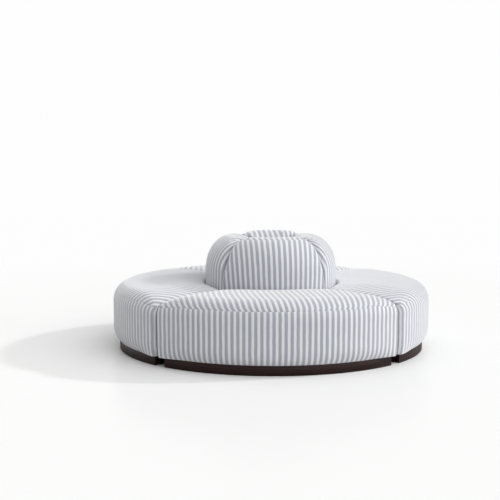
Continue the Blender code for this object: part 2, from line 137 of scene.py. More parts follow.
# Seams, with the fuller panels and the puckers beside them
SEAM_DEPTH = 0.0020
SEAM_HALF_WIDTH = 0.0022
PANEL_SWELL = 0.0012
PANEL_SWELL_REACH = 0.045
PANEL_MIDDLE = PANEL_SWELL_REACH * 3
PUCKER_DEPTH = 0.0006
PUCKER_REACH = 0.030
PUCKER_LENGTH = 0.034
# The waves that make a pucker, as shares of its length, and what their sum is divided by
WAVE_SCALES = (1.0, 0.63, 0.41)
WAVE_PEAK = 1.8

# Plinth
PLINTH_BOARD = 0.022
PLINTH_SETBACK = 0.038
PLINTH_END_SETBACK = 0.0415
PLINTH_EDGE = 0.0015
PLINTH_SHARP_DEGREES = 50.0
PLINTH_CAP_DEPTH = 0.02

# Stripes of the cloth: their pitch and starts, their strays from straight, and their uneven edges
STRIPE_PITCH = 0.0336
WHITE_SHARE = 0.46
SEAT_STRIPE_STARTS = {"front": 0.0031, "right": 0.0078, "rear": 0.0031, "left": -0.0137}
BACK_STRIPE_START = 0.0031
TOP_STRIPE_START = 0.0031
SEAT_SIDE_STRAY = Stray(-0.0006, -0.0087, 0.0, 0.0, 0.0, 0.0, 0.0)
SEAT_TOP_STRAY = Stray(0.0057, 0.004, 0.0, -0.015, -0.037, -0.252, 0.597)
BACK_SIDE_STRAY = Stray(0.0103, 0.098, 0.0255, -0.193, 0.0, 0.0, 0.0)
BACK_TOP_STRAY = Stray(0.0563, -0.038, -0.185, 0.0, 0.0, 0.0, 0.0)
STRIPE_DRIFT = Pattern(14.0, 3.0)
STRIPE_DRIFT_WIDTH = 0.0040
STRIPE_RAGGED = Pattern(110.0, 2.0, (1.0, 6.0, 1.0))
STRIPE_RAGGED_WIDTH = 0.0022
STRIPE_EDGE = 0.035

# Cloth: its colours, linear, the darker patterns in it with their shares, and its threads and creases
WHITE_CLOTH = (0.790, 0.797, 0.812)
BLUE_CLOTH = (0.386, 0.399, 0.461)
CLOTH_SHADE = (0.20, 0.20, 0.22)
WARP = Pattern(900.0, 1.0, (1.0, 0.03, 1.0))
WARP_SHARE = 0.10
CLOUD = Pattern(9.0, 3.0)
CLOUD_SHARE = 0.08
WEAR = Pattern(26.0, 4.0, (1.0, 0.6, 1.0))
WEAR_RANGE = (0.35, 0.75)
WEAR_SHARE = 0.05
UNSHADED = 0.05
THREAD_PITCH = 0.0016
THREAD_RELIEF = Relief(0.0002, 0.35)
CREASES = Pattern(60.0, 3.0)
CREASE_RELIEF = Relief(0.0010, 0.35)
CLOTH_FINISH = {"Roughness": 0.88, "Specular IOR Level": 0.50, "Sheen Weight": 0.90, "Sheen Roughness": 0.50}

# Belts
BELT_COLOUR = (0.020, 0.020, 0.022)
BELT_LIGHT = (0.05, 0.05, 0.055)
BELT_CHECKS = 350.0
BELT_RELIEF = Relief(0.0004, 0.5)
BELT_FINISH = {"Roughness": 0.8}

# Woods: their colours, their middle roughness, how their grain is stretched, and what their roughness strays
PLYWOOD_LIGHT = (0.56, 0.40, 0.24)
PLYWOOD_DARK = (0.40, 0.26, 0.14)
PLYWOOD_ROUGHNESS = 0.62
PLYWOOD_STRETCH = (1.0, 6.0, 20.0)
PLINTH_LIGHT = (0.028, 0.0125, 0.0115)
PLINTH_DARK = (0.011, 0.0045, 0.0040)
PLINTH_ROUGHNESS = 0.46
PLINTH_STRETCH = (1.0, 12.0, 1.0)
ROUGHNESS_STRAYS = (-0.08, 0.10)
WOOD_GRAIN = Pattern(60.0, 6.0)
WOOD_GRAIN_SHARE = 0.7
WOOD_FIGURE = Pattern(9.0, 3.0)
WOOD_FIGURE_SHARE = 0.5
WOOD_RANGE = (0.35, 0.85)
WOOD_RELIEF = Relief(0.0006, 0.25)
WOOD_FINISH = {"Specular IOR Level": 0.14}

# Steps of the meshes
SEAT_FACE_STEPS = 112
SEAT_SIDE_STEPS = 40
SEAT_FOOT_RINGS = 12
SEAT_UPRIGHT_RINGS = 12
BACK_FACE_STEPS = 60
BACK_SIDE_STEPS = 28
BACK_FOOT_RINGS = 4
BACK_UPRIGHT_RINGS = 20
CORNER_HALF_STEPS = 4
PLINTH_ARC_STEPS = 96
# How strongly the foot's rings crowd towards the hem
FOOT_CROWDING = 1.5
# Where a shoulder's rings lie, in degrees of its turn: about the seam, every few degrees, and at the top
NEAR_SEAM_DEGREES = (-4.0, -2.2, -1.2, -0.6, 0.0, 0.6, 1.2, 2.2, 4.0)
SEAM_CLEAR_DEGREES = 5.5
SHOULDER_STEP_DEGREES = 5.0
SHOULDER_TOP_DEGREES = (87.5, 90.0)
# The least length that anything is divided by
TINY = 1e-9

# Camera and lamps, these with their place about the sofa, height, spread and strength
CAMERA_PLACE = (-0.4130, -6.3777, 1.2356)
CAMERA_TURN_DEGREES = (84.505, 0.0, -2.480)
CAMERA_LENS = 70.08
SENSOR_WIDTH = 36.0
LAMPS = (("key_light", 10.0, 28.0, 4.0, 1.00), ("front_light", -38.0, 33.5, 90.0, 2.78),
         ("rear_light", 90.0, 45.0, 90.0, 0.86), ("left_light", 180.0, 35.0, 90.0, 0.87))

# Floor and backdrop, with how far out the floor starts and ends to fade
SKY_STRENGTH = 0.02
SKY_WHITE = (0.99, 0.99, 0.99, 1.0)
FLOOR_HALF = 14.0
FLOOR_COLOUR = (0.942, 0.942, 0.937)
FLOOR_BOUNCE_COLOUR = (0.66, 0.66, 0.66)
FLOOR_GLOSS_SHARE = 0.07
FLOOR_GLOSS_ROUGHNESS = 0.22
FLOOR_FADE = (2.4, 6.0)
FLOOR_WHITE = (0.985, 0.985, 0.985, 1.0)

FACE_CENTRE = BACK_FACE - BACK_FACE_RADIUS
HEEL_RADIUS = BACK_FACE_RADIUS + SEAT_TO_BACK
SEAT_PLAN = Plan(0.0, SEAT_RADIUS, FACE_CENTRE, HEEL_RADIUS, SEAT_FACE_STEPS, SEAT_SIDE_STEPS)
BACK_PLAN = Plan(FACE_CENTRE, BACK_FACE_RADIUS, 0.0, BACK_CORE_RADIUS, BACK_FACE_STEPS, BACK_SIDE_STEPS)


# Plan geometry

def from_end(along, off):
    """The point at a distance along the upper end plane and at a distance off it."""
    return np.array((SLANT * (along + off), SLANT * (along - off)))


def reach(centre, radius, off):
    """How far along the end plane a circle on the X axis lies, at a distance off the plane."""
    middle = SLANT * centre
    return middle + math.sqrt(middle ** 2 + radius ** 2 - off ** 2 - centre ** 2 + 2 * off * middle)


def arc(centre, radius, start, stop, steps):
    """Points from one angle to another on a circle on the X axis, both ends included."""
    angles = np.linspace(start, stop, steps + 1)
    return np.column_stack((centre + radius * np.cos(angles), radius * np.sin(angles)))


def corner(centre, radius, off, rounding, turn):
    """The rounded upper corner from its point on the circle to its point on the end."""
    hub_along = reach(centre, radius - turn * rounding, off + rounding)
    hub = from_end(hub_along, off + rounding)
    outward = (hub - (centre, 0.0)) * turn
    sideways = from_end(hub_along, off) - hub
    start = math.atan2(outward[1], outward[0])
    swing = math.atan2(sideways[1], sideways[0]) - start
    swing = (swing + math.pi) % (2 * math.pi) - math.pi
    angles = start + swing * np.linspace(0.0, 1.0, 2 * CORNER_HALF_STEPS + 1)
    return hub + rounding * np.column_stack((np.cos(angles), np.sin(angles)))


def mirrored(points):
    """The points on the other side of the X axis."""
    return points * (1.0, -1.0)


def outline(plan, ring):
    """The four edges of a ring, each from corner middle to corner middle, going anticlockwise."""
    off = END_GAP + ring.end
    half = CORNER_HALF_STEPS
    radius = plan.radius - ring.outer
    inner_radius = plan.inner_radius + ring.inner
    outer = corner(plan.centre, radius, off, ring.corner, 1)
    inner = corner(plan.inner_centre, inner_radius, off, ring.inner_corner, -1)
    spread = math.atan2(outer[0, 1], outer[0, 0] - plan.centre)
    inner_spread = math.atan2(inner[0, 1], inner[0, 0] - plan.inner_centre)
    face = arc(plan.centre, radius, -spread, spread, plan.face_steps)
    heel = arc(plan.inner_centre, inner_radius, inner_spread, -inner_spread, plan.face_steps)
    shares = np.linspace(0.0, 1.0, plan.side_steps + 1)[:, None]
    side = outer[-1] * (1 - shares) + inner[-1] * shares
    upper_side = np.concatenate((outer[half:-1], side, inner[-2:half - 1:-1]))
    outer_edge = np.concatenate((mirrored(outer[half:0:-1]), face, outer[1:half + 1]))
    inner_edge = np.concatenate((inner[half:0:-1], heel, mirrored(inner[1:half + 1])))
    return outer_edge, upper_side, inner_edge, mirrored(upper_side)[::-1]


def run_lengths(points):
    """How far along a run of points each point lies."""
    steps = np.linalg.norm(np.diff(points, axis=0), axis=1)
    return np.concatenate(([0.0], np.cumsum(steps)))


def run_shares(points):
    """How far along a run of points each point lies, from 0 to 1."""
    lengths = run_lengths(points)
    return lengths / lengths[-1]


def ring_edges(plan, ring):
    """A ring's four edges as points in space, with the height running from outer side to inner."""
    edges = outline(plan, ring)
    shares = (np.zeros(len(edges[0])), run_shares(edges[1]),
              np.ones(len(edges[2])), 1.0 - run_shares(edges[3]))
    fall = ring.inner_height - ring.height
    return [np.column_stack((edge, ring.height + fall * share)) for edge, share in zip(edges, shares)]


def ring_points(plan, ring):
    """A ring's points in one closed run."""
    return np.concatenate([edge[:-1] for edge in ring_edges(plan, ring)])


def crown_grid(edges):
    """Points across the top, blended from the last ring's four edges."""
    outer_edge, upper_side = edges[0], edges[1]
    inner_edge, lower_side = edges[2][::-1], edges[3][::-1]
    u = run_shares(outer_edge)[None, :, None]
    v = run_shares(upper_side)[:, None, None]
    rows = outer_edge[None] * (1 - v) + inner_edge[None] * v
    rows = rows + lower_side[:, None] * (1 - u) + upper_side[:, None] * u
    rows = rows - (outer_edge[0] * (1 - u) + outer_edge[-1] * u) * (1 - v)
    return rows - (inner_edge[0] * (1 - u) + inner_edge[-1] * u) * v


def inside_face(points, plan):
    """How far inside the plan's outer circle each point lies."""
    return plan.radius - np.hypot(points[..., 0] - plan.centre, points[..., 1])


def inside_ends(points):
    """How far from the nearer end plane each point lies."""
    return SLANT * (points[..., 0] - np.abs(points[..., 1]))


def soft_step(distance, far):
    """From 0 at no distance to 1 when far, with soft ends."""
    share = np.clip(distance / far, 0.0, 1.0)
    return share ** 2 * (3.0 - 2.0 * share)


# Meshes

def closed(rows):
    """Rows of a grid with their first places repeated at their ends."""
    return np.concatenate((rows, rows[:, :1]), axis=1)


def quads(grid):
    """The four corners of each cell of a grid."""
    return np.stack((grid[:-1, :-1], grid[:-1, 1:], grid[1:, 1:], grid[1:, :-1]), axis=2)


def mapped_mesh(name, points, faces, layer_name, places):
    """A mesh with one UV map."""
    mesh = bpy.data.meshes.new(name)
    mesh.from_pydata(points.tolist(), [], faces.tolist())
    layer = mesh.uv_layers.new(name=layer_name)
    layer.data.foreach_set("uv", places.ravel())
    mesh.shade_smooth()
    mesh.update()
    return mesh


# Rings of the upholstered blocks

def corners_at(table, height):
    """The outer and inner corner radii at a height."""
    heights, outer, inner = zip(*table)
    return float(np.interp(height, heights, outer)), float(np.interp(height, heights, inner))


def level_ring(insets, corners, height):
    """A ring at one height."""
    return Ring(*insets, *corners_at(corners, height), height, height)


def hem_and_round(feet, corners, steps):
    """Rings from the hem under the block round its lower edge to the foot of its side."""
    rise = max(height for height, depth in feet)
    rings = [level_ring([depth + HEM_WIDTH for height, depth in feet], corners, COVER_UNDERSIDE)]
    whole = 1.0 - math.sqrt(1.0 - FOOT_TURN_SHARE ** 2)
    for share in np.linspace(0.0, 1.0, steps + 1):
        climb = rise * share ** FOOT_CROWDING
        turns = [FOOT_TURN_SHARE * max(1.0 - climb / height, 0.0) for height, depth in feet]
        insets = [foot[1] * (1.0 - math.sqrt(1.0 - turn ** 2)) / whole for foot, turn in zip(feet, turns)]
        rings.append(level_ring(insets, corners, COVER_UNDERSIDE + climb))
    return rings


def upright_rings(corners, low, high, steps):
    """Rings up an upright side."""
    return [level_ring((0.0, 0.0, 0.0), corners, low + (high - low) * step / steps)
            for step in range(1, steps + 1)]


def drawn_in(edge, high, height):
    """How far a rounded edge has drawn in at a height."""
    share = min(max((height - edge.low) / (high - edge.low), 0.0), 1.0)
    return edge.width * (1.0 - (1.0 - share ** edge.power) ** (1.0 / edge.power))


def shoulder(edges, seam_degrees, corners, high, inner_high):
    """Rings from the top of the side to the edge of the top, and the number of the seam's ring."""
    near_seam = [seam_degrees + step for step in NEAR_SEAM_DEGREES]
    even = np.arange(SHOULDER_STEP_DEGREES, 90.0, SHOULDER_STEP_DEGREES)
    spread = [angle for angle in even if abs(angle - seam_degrees) > SEAM_CLEAR_DEGREES]
    angles = sorted(near_seam + spread + list(SHOULDER_TOP_DEGREES))
    low = edges[0].low
    rings = []
    for angle in angles:
        rise = math.sin(math.radians(angle)) ** (2 / edges[0].power)
        height = low + (high - low) * rise
        insets = [drawn_in(edge, high, height) for edge in edges]
        rings.append(Ring(*insets, *corners_at(corners, height), height, low + (inner_high - low) * rise))
    return rings, angles.index(seam_degrees)


def block_rings(plan, foot, side, top, seam, *others):
    """A block from its rings."""
    below = len(foot) + len(side)
    return Block(plan, foot + side + top, len(foot) - 1, below - 1, below + seam, *others)


def seat_block():
    """The seat's rings: hem, lower round, side, and the shoulder with its seam."""
    foot = hem_and_round(SEAT_FEET, SEAT_CORNERS, SEAT_FOOT_RINGS)
    side = upright_rings(SEAT_CORNERS, foot[-1].height, SEAT_SIDE_HIGH, SEAT_UPRIGHT_RINGS)
    top, seam = shoulder(SEAT_EDGES, SEAT_SEAM_DEGREES, SEAT_CORNERS, SEAT_EDGE_HEIGHT, SEAT_HEEL_HEIGHT)
    return block_rings(SEAT_PLAN, foot, side, top, seam, SEAT_SWELL, SEAT_SIDE_STRAY, SEAT_TOP_STRAY)


def back_block():
    """The back's rings: hem, the tall side, and the long shoulder with its seam near the top."""
    foot = hem_and_round(BACK_FEET, BACK_CORNERS, BACK_FOOT_RINGS)
    side = upright_rings(BACK_CORNERS, foot[-1].height, BACK_SIDE_HIGH, BACK_UPRIGHT_RINGS)
    top, seam = shoulder(BACK_EDGES, BACK_SEAM_DEGREES, BACK_CORNERS, BACK_EDGE_HEIGHT, BACK_CORE_HEIGHT)
    return block_rings(BACK_PLAN, foot, side, top, seam, BACK_SWELL, BACK_SIDE_STRAY, BACK_TOP_STRAY)


# Shapes of the upholstered blocks

def fuller_corners(rings, block):
    """Rings whose foot rounds in less near the module's ends, where the cover is pulled straight down."""
    straight = [ring._replace(outer=0.0, end=0.0, inner=0.0) for ring in block.rings]
    straight[0] = straight[0]._replace(outer=HEM_WIDTH, end=HEM_WIDTH, inner=HEM_WIDTH)
    upright = np.array([ring_points(block.plan, ring) for ring in straight[:block.shoulder_ring]])
    share = FOOT_CORNER_SHARE * (1.0 - soft_step(inside_ends(upright), FOOT_CORNER_REACH))[..., None]
    filled = rings.copy()
    filled[:block.shoulder_ring] += (upright - rings[:block.shoulder_ring]) * share
    return filled


def swell_heights(points, block, shares, fit):
    """How far the block swells upwards at each point, by its share of the way up the shoulder."""
    plan, swell = block.plan, block.swell
    in_face, in_ends = inside_face(points, plan), inside_ends(points)
    in_heel = np.hypot(points[..., 0] - plan.inner_centre, points[..., 1]) - plan.inner_radius
    outwards = np.clip(in_heel / (in_heel + in_face), 0.0, 1.0)
    fall = swell.inner_fall + (swell.outer_fall - swell.inner_fall) * outwards
    middle = soft_step(in_ends, swell.inner_far + (swell.outer_far - swell.inner_far) * outwards)
    across = soft_step(in_face, swell.face_reach) * soft_step(in_heel, swell.heel_reach)
    crown = across * (swell.end_rise + (swell.rise - swell.end_rise) * middle)
    lift = np.where(points[..., 1] < 0.0, fit.lifts[0], fit.lifts[1]) * (1.0 - middle)
    dip_depth, dip_reach = fit.dip
    dipped = dip_depth * (1.0 - soft_step(in_heel, dip_reach))
    return shares * (crown + fall * middle + lift - dipped)


def drawn_ends(points, plan, draws):
    """Points with the module's ends drawn in beside its outer corners."""
    draw = np.where(points[..., 1] < 0.0, draws[0], draws[1])
    near_end = 1.0 - soft_step(inside_ends(points), DRAW_WIDTH)
    near_face = 1.0 - soft_step(inside_face(points, plan), DRAW_REACH)
    move = SLANT * draw * near_end * near_face
    return points + np.stack((move, -np.sign(points[..., 1]) * move, np.zeros_like(move)), axis=-1)


def block_points(block, fit):
    """A block's rings and the grid across its top, before the relief at the seam."""
    rings = fuller_corners(np.array([ring_points(block.plan, ring) for ring in block.rings]), block)
    grid = crown_grid(ring_edges(block.plan, block.rings[-1]))
    heights = np.array([ring.height for ring in block.rings])
    low, high = heights[block.shoulder_ring], heights[-1]
    shares = np.clip((heights - low) / (high - low), 0.0, 1.0)[:, None]
    rings[..., 2] += swell_heights(rings, block, shares, fit)
    grid[..., 2] += swell_heights(grid, block, 1.0, fit)
    return drawn_ends(rings, block.plan, fit.draws), drawn_ends(grid, block.plan, fit.draws)


def smooth_noise(runs, wavelength, seed):
    """A smooth random wave along a run, between about -1 and 1."""
    chance = np.random.RandomState(seed)
    wave = np.zeros_like(runs)
    for scale in WAVE_SCALES:
        turns = 2 * math.pi * runs / (wavelength * scale)
        wave += np.sin(turns + chance.uniform(0, 2 * math.pi)) / WAVE_PEAK
    return wave


def seam_relief(climb, seam_runs, seam_ring, others, seed):
    """How far the cloth stands out at the rings' points and at others far from the seam."""
    from_seam = np.concatenate((np.abs(climb - climb[seam_ring]).ravel(), np.full(others, PANEL_MIDDLE)))
    along_seam = np.concatenate((np.broadcast_to(seam_runs, climb.shape).ravel(), np.zeros(others)))
    groove = -SEAM_DEPTH * np.exp(-(from_seam / SEAM_HALF_WIDTH) ** 2)
    swell = PANEL_SWELL * (from_seam / PANEL_SWELL_REACH) * np.exp(1.0 - from_seam / PANEL_SWELL_REACH)
    pucker = PUCKER_DEPTH * smooth_noise(along_seam, PUCKER_LENGTH, seed) * np.exp(-from_seam / PUCKER_REACH)
    return groove + swell + pucker


# Cloth of the upholstered blocks

def gathered(runs, steps, block):
    """Runs and their steps with those of the foot nearer to the side's, most at the module's ends."""
    side_runs, side_steps = runs[block.foot_ring], steps[block.foot_ring]
    away = np.clip(np.abs(side_runs) / (block.plan.radius * HALF_SECTOR), 0.0, 1.0) ** 2
    share = GATHER_SHARES[0] + (GATHER_SHARES[1] - GATHER_SHARES[0]) * away
    gathered_runs, gathered_steps = runs.copy(), steps.copy()
    gathered_runs[:block.foot_ring] += (side_runs - runs[:block.foot_ring]) * share
    gaps = np.diff(gathered_runs, axis=1, append=gathered_runs[:, :1])
    gathered_steps[:block.foot_ring] = np.where(gaps > 0.0, gaps, side_steps)[:block.foot_ring]
    return gathered_runs, gathered_steps


def cloth_runs(rings, middle, block):
    """How far round from the middle of the outer side each point of the rings lies, and the step after it."""
    steps = np.linalg.norm(np.diff(closed(rings)[..., :2], axis=1), axis=2)
    runs = np.cumsum(steps, axis=1) - steps
    runs = runs - runs[:, middle:middle + 1]
    perimeter = steps.sum(axis=1, keepdims=True)
    runs = np.where(runs > perimeter / 2, runs - perimeter, runs)
    return gathered(runs, steps, block)


def cloth_climbs(rings):
    """How far up the cloth from the hem each point of the rings lies."""
    climbs = np.linalg.norm(np.diff(rings, axis=0), axis=2)
    return np.concatenate((np.zeros((1, rings.shape[1])), np.cumsum(climbs, axis=0)))


def unrolled(rings, climb, seam_ring):
    """The places of the rings' points on the top's cloth, with the shoulder turned out flat."""
    border = rings[-1, :, :2]
    outward = rings[seam_ring, :, :2] - border
    outward = outward / np.maximum(np.linalg.norm(outward, axis=1, keepdims=True), TINY)
    return border[None] + outward[None] * (climb[-1] - climb)[..., None]


def strayed(places, stray):
    """Places on the cloth with their stripes strayed."""
    across, up = places[..., 0], places[..., 1]
    bowed = np.maximum(up - stray.bow_start, 0.0) ** 2
    shift = stray.shift + stray.along * across + stray.up * up + stray.fan * across * up
    moved = across + shift + stray.bend * across ** 2 + stray.bow * bowed
    return np.stack((moved, up), axis=-1)


def top_numbers(last, rows, columns, first_inside):
    """The numbers of the points across the top, where the last ring's points make the grid's four edges."""
    across, inward = columns - 1, rows - 1
    numbers = np.zeros((rows, columns), int)
    numbers[0] = last[:columns]
    numbers[:, across] = last[across:across + rows]
    numbers[inward] = last[across + inward:2 * across + rows][::-1]
    numbers[:, 0] = np.concatenate((last[2 * across + inward:], last[:1]))[::-1]
    inside = numbers[1:-1, 1:-1]
    inside[:] = first_inside + np.arange(inside.size).reshape(inside.shape)
    return numbers


def block_mesh(name, block, fit):
    """The mesh of a cover, open under its hem, with the cloth's run across and along as its UV map.

    The side cloth's stripes count along each ring from the middle of the outer side. At the foot they draw
    together a little, because the cloth is gathered there. The top cloth's stripes run straight over the top
    and down the shoulder to the seam.
    """
    rings, grid = block_points(block, fit)
    runs, steps = cloth_runs(rings, (grid.shape[1] - 1) // 2, block)
    climb = cloth_climbs(rings)
    inside = grid[1:-1, 1:-1].reshape(-1, 3)
    points = np.concatenate((rings.reshape(-1, 3), inside))

    numbers = np.arange(climb.size).reshape(climb.shape)
    ring_faces = quads(closed(numbers)).reshape(-1, 4)
    top_faces = quads(top_numbers(numbers[-1], *grid.shape[:2], climb.size)).reshape(-1, 4)
    side_count = block.seam_ring * climb.shape[1]

    starts = np.stack((runs, climb), axis=-1)
    stops = np.stack((runs + steps, np.roll(climb, -1, axis=1)), axis=-1)
    side_places = np.stack((starts[:-1], stops[:-1], stops[1:], starts[1:]), axis=2)[:block.seam_ring]
    side_places = strayed(side_places - (fit.stripe_start, 0.0), block.side_stray)
    shoulder_places = unrolled(rings, climb, block.seam_ring).reshape(-1, 2)
    top_places = np.concatenate((shoulder_places, inside[:, :2]))[:, ::-1] - (TOP_STRIPE_START, 0.0)
    top_places = strayed(top_places, block.top_stray)
    top_corners = np.concatenate((ring_faces[side_count:], top_faces)).ravel()
    places = np.concatenate((side_places.reshape(-1, 2), top_places[top_corners]))

    mesh = mapped_mesh(name, points, np.concatenate((ring_faces, top_faces)), "cloth", places)
    relief = seam_relief(climb, runs[block.seam_ring], block.seam_ring, len(inside), fit.seed)
    normals = np.zeros(points.size)
    mesh.vertices.foreach_get("normal", normals)
    points = points + normals.reshape(-1, 3) * relief[:, None]
    mesh.vertices.foreach_set("co", points.ravel())
    mesh.update()
    return mesh


# Plinth boards

def bevelled_board(name, loop, height):
    """A board over a closed outline with eased edges, and its run and height as its UV map."""
    after = np.roll(loop, -1, axis=0) - loop
    before = loop - np.roll(loop, 1, axis=0)
    after = after / np.linalg.norm(after, axis=1, keepdims=True)
    before = before / np.linalg.norm(before, axis=1, keepdims=True)
    inward = np.column_stack((-(after[:, 1] + before[:, 1]), after[:, 0] + before[:, 0]))
    spread = 1.0 + np.sum(after * before, axis=1)
    eased = loop + inward / spread[:, None] * PLINTH_EDGE
    levels = ((eased, 0.0), (loop, PLINTH_EDGE), (loop, height - PLINTH_EDGE), (eased, height))
    count, half = len(loop), len(loop) // 2
    points = np.concatenate([np.column_stack((level, np.full(count, z))) for level, z in levels])
    numbers = np.arange(len(points)).reshape(len(levels), count)
    walls = quads(closed(numbers)).reshape(-1, 4)
    bottom, top = [quads(np.stack((row[:half], row[::-1][:half])))[0] for row in (numbers[0], numbers[-1])]
    runs = run_lengths(closed(loop.T).T)
    wall_places = quads(np.stack([np.column_stack((runs, np.full(count + 1, z))) for level, z in levels]))
    rows = [np.column_stack((runs[:half], np.full(half, depth))) for depth in (0.0, PLINTH_CAP_DEPTH)]
    cap_places = quads(np.stack(rows))[0]
    places = [part.reshape(-1, 2) for part in (wall_places, cap_places[:, ::-1], cap_places)]
    faces = np.concatenate((walls, bottom[:, ::-1], top))
    mesh = mapped_mesh(name, points, faces, "wood", np.concatenate(places))
    mesh.set_sharp_from_angle(angle=math.radians(PLINTH_SHARP_DEGREES))
    return mesh


def end_angle(centre, radius, off):
    """The angle about a circle's centre at which it reaches a line off the end plane."""
    point = from_end(reach(centre, radius, off), off)
    return math.atan2(point[1], point[0] - centre)


def plinth_meshes():
    """The bent front board and the two straight boards of one plinth."""
    radius = SEAT_RADIUS - PLINTH_SETBACK
    inner_radius = radius - PLINTH_BOARD
    outer_end = end_angle(0.0, radius, PLINTH_END_SETBACK)
    inner_end = end_angle(0.0, inner_radius, PLINTH_END_SETBACK)
    front = np.concatenate((arc(0.0, radius, -outer_end, outer_end, PLINTH_ARC_STEPS),
                            arc(0.0, inner_radius, inner_end, -inner_end, PLINTH_ARC_STEPS)))
    inner_face = PLINTH_END_SETBACK + PLINTH_BOARD
    stop = reach(0.0, inner_radius - PLINTH_EDGE, inner_face)
    right = np.array([from_end(inner_face, inner_face), from_end(stop, inner_face),
                      from_end(stop, PLINTH_END_SETBACK), from_end(PLINTH_END_SETBACK, PLINTH_END_SETBACK)])
    loops = {"plinth_front_board": front, "plinth_right_board": right,
             "plinth_left_board": mirrored(right)[::-1]}
    return {name: bevelled_board(name, loop, PLINTH_TOP) for name, loop in loops.items()}


# Materials

class Graph:
    """Short calls for building a material's node tree."""

    def __init__(self, name):
        self.material = bpy.data.materials.new(name)
        self.material.use_nodes = True
        self.tree = self.material.node_tree
        self.shader = self.tree.nodes["Principled BSDF"]

    def node(self, kind, **settings):
        """A node of a kind with its settings."""
        made = self.tree.nodes.new(kind)
        for key, value in settings.items():
            setattr(made, key, value)
        return made

    def put(self, socket, value):
        """Link a socket's output to an input, or set the input's number."""
        if isinstance(value, bpy.types.NodeSocket):
            self.tree.links.new(value, socket)
        else:
            socket.default_value = value

    def calc(self, operation, first, second=0.0):
        """One calculation on one or two numbers."""
        made = self.node("ShaderNodeMath", operation=operation)
        self.put(made.inputs[0], first)
        self.put(made.inputs[1], second)
        return made.outputs[0]

    def total(self, first, *others):
        """Numbers added up."""
        for other in others:
            first = self.calc("ADD", first, other)
        return first

    def smooth(self, value, low, high):
        """From 0 at low to 1 at high with soft ends."""
        made = self.node("ShaderNodeMapRange", interpolation_type="SMOOTHSTEP")
        self.put(made.inputs["Value"], value)
        self.put(made.inputs["From Min"], low)
        self.put(made.inputs["From Max"], high)
        return made.outputs["Result"]

    def mix(self, share, first, second):
        """One colour blended into another."""
        made = self.node("ShaderNodeMix", data_type="RGBA")
        colours = [socket for socket in made.inputs if socket.type == "RGBA"]
        self.put(made.inputs["Factor"], share)
        for socket, value in zip(colours, (first, second)):
            self.put(socket, (*value, 1.0) if isinstance(value, tuple) else value)
        return next(socket for socket in made.outputs if socket.type == "RGBA")

    def stretched(self, vector, scale):
        """A vector multiplied along its axes."""
        made = self.node("ShaderNodeMapping")
        self.put(made.inputs["Vector"], vector)
        made.inputs["Scale"].default_value = scale
        return made.outputs["Vector"]

    def noise(self, vector, pattern):
        """Smooth noise between 0 and 1."""
        if pattern.stretch:
            vector = self.stretched(vector, pattern.stretch)
        made = self.node("ShaderNodeTexNoise")
        self.put(made.inputs["Vector"], vector)
        made.inputs["Scale"].default_value = pattern.scale
        made.inputs["Detail"].default_value = pattern.detail
        return made.outputs["Fac"]

    def wander(self, vector, pattern, width):
        """Smooth noise to either side of 0, over a width."""
        return self.calc("MULTIPLY", self.calc("SUBTRACT", self.noise(vector, pattern), 0.5), width)

    def bump(self, height, relief, under=None):
        """A bump on the surface."""
        made = self.node("ShaderNodeBump")
        made.inputs["Distance"].default_value = relief.distance
        made.inputs["Strength"].default_value = relief.strength
        self.put(made.inputs["Height"], height)
        if under is not None:
            self.put(made.inputs["Normal"], under)
        return made.outputs["Normal"]

    def finished(self, colour, normal, finish):
        """The material with its colour, its bump and the levels that are even all over."""
        self.put(self.shader.inputs["Base Color"], colour)
        self.put(self.shader.inputs["Normal"], normal)
        for socket, level in finish.items():
            self.shader.inputs[socket].default_value = level
        return self.material


def striped_cloth():
    """Flat woven cloth with equal pale blue-grey and off-white stripes along its length."""
    g = Graph("striped_cloth")
    uv = g.node("ShaderNodeUVMap", uv_map="cloth").outputs["UV"]
    split = g.node("ShaderNodeSeparateXYZ")
    g.put(split.inputs[0], uv)
    across, along = split.outputs["X"], split.outputs["Y"]
    drift = g.wander(uv, STRIPE_DRIFT, STRIPE_DRIFT_WIDTH)
    ragged = g.wander(uv, STRIPE_RAGGED, STRIPE_RAGGED_WIDTH)
    place = g.calc("ADD", across, g.calc("ADD", drift, ragged))
    turn = g.calc("FRACT", g.calc("ADD", g.calc("DIVIDE", place, STRIPE_PITCH), 0.5))
    from_white = g.calc("ABSOLUTE", g.calc("SUBTRACT", turn, 0.5))
    blue = g.smooth(from_white, WHITE_SHARE / 2 - STRIPE_EDGE, WHITE_SHARE / 2 + STRIPE_EDGE)
    warp = g.calc("MULTIPLY", g.noise(uv, WARP), WARP_SHARE)
    cloud = g.calc("MULTIPLY", g.noise(uv, CLOUD), CLOUD_SHARE)
    wear = g.calc("MULTIPLY", g.smooth(g.noise(uv, WEAR), *WEAR_RANGE), WEAR_SHARE)
    shade = g.calc("SUBTRACT", g.total(warp, cloud, wear), UNSHADED)
    colour = g.mix(shade, g.mix(blue, WHITE_CLOTH, BLUE_CLOTH), CLOTH_SHADE)
    waves = 2 * math.pi / THREAD_PITCH
    threads = [g.calc("SINE", g.calc("MULTIPLY", run, waves)) for run in (across, along)]
    weave = g.bump(g.calc("MULTIPLY", *threads), THREAD_RELIEF)
    return g.finished(colour, g.bump(g.noise(uv, CREASES), CREASE_RELIEF, weave), CLOTH_FINISH)


def belt_material():
    """Woven elastic belts."""
    g = Graph("woven_belt")
    checks = g.node("ShaderNodeTexChecker")
    g.put(checks.inputs["Vector"], g.node("ShaderNodeTexCoord").outputs["Object"])
    checks.inputs["Scale"].default_value = BELT_CHECKS
    check = checks.outputs["Fac"]
    return g.finished(g.mix(check, BELT_COLOUR, BELT_LIGHT), g.bump(check, BELT_RELIEF), BELT_FINISH)


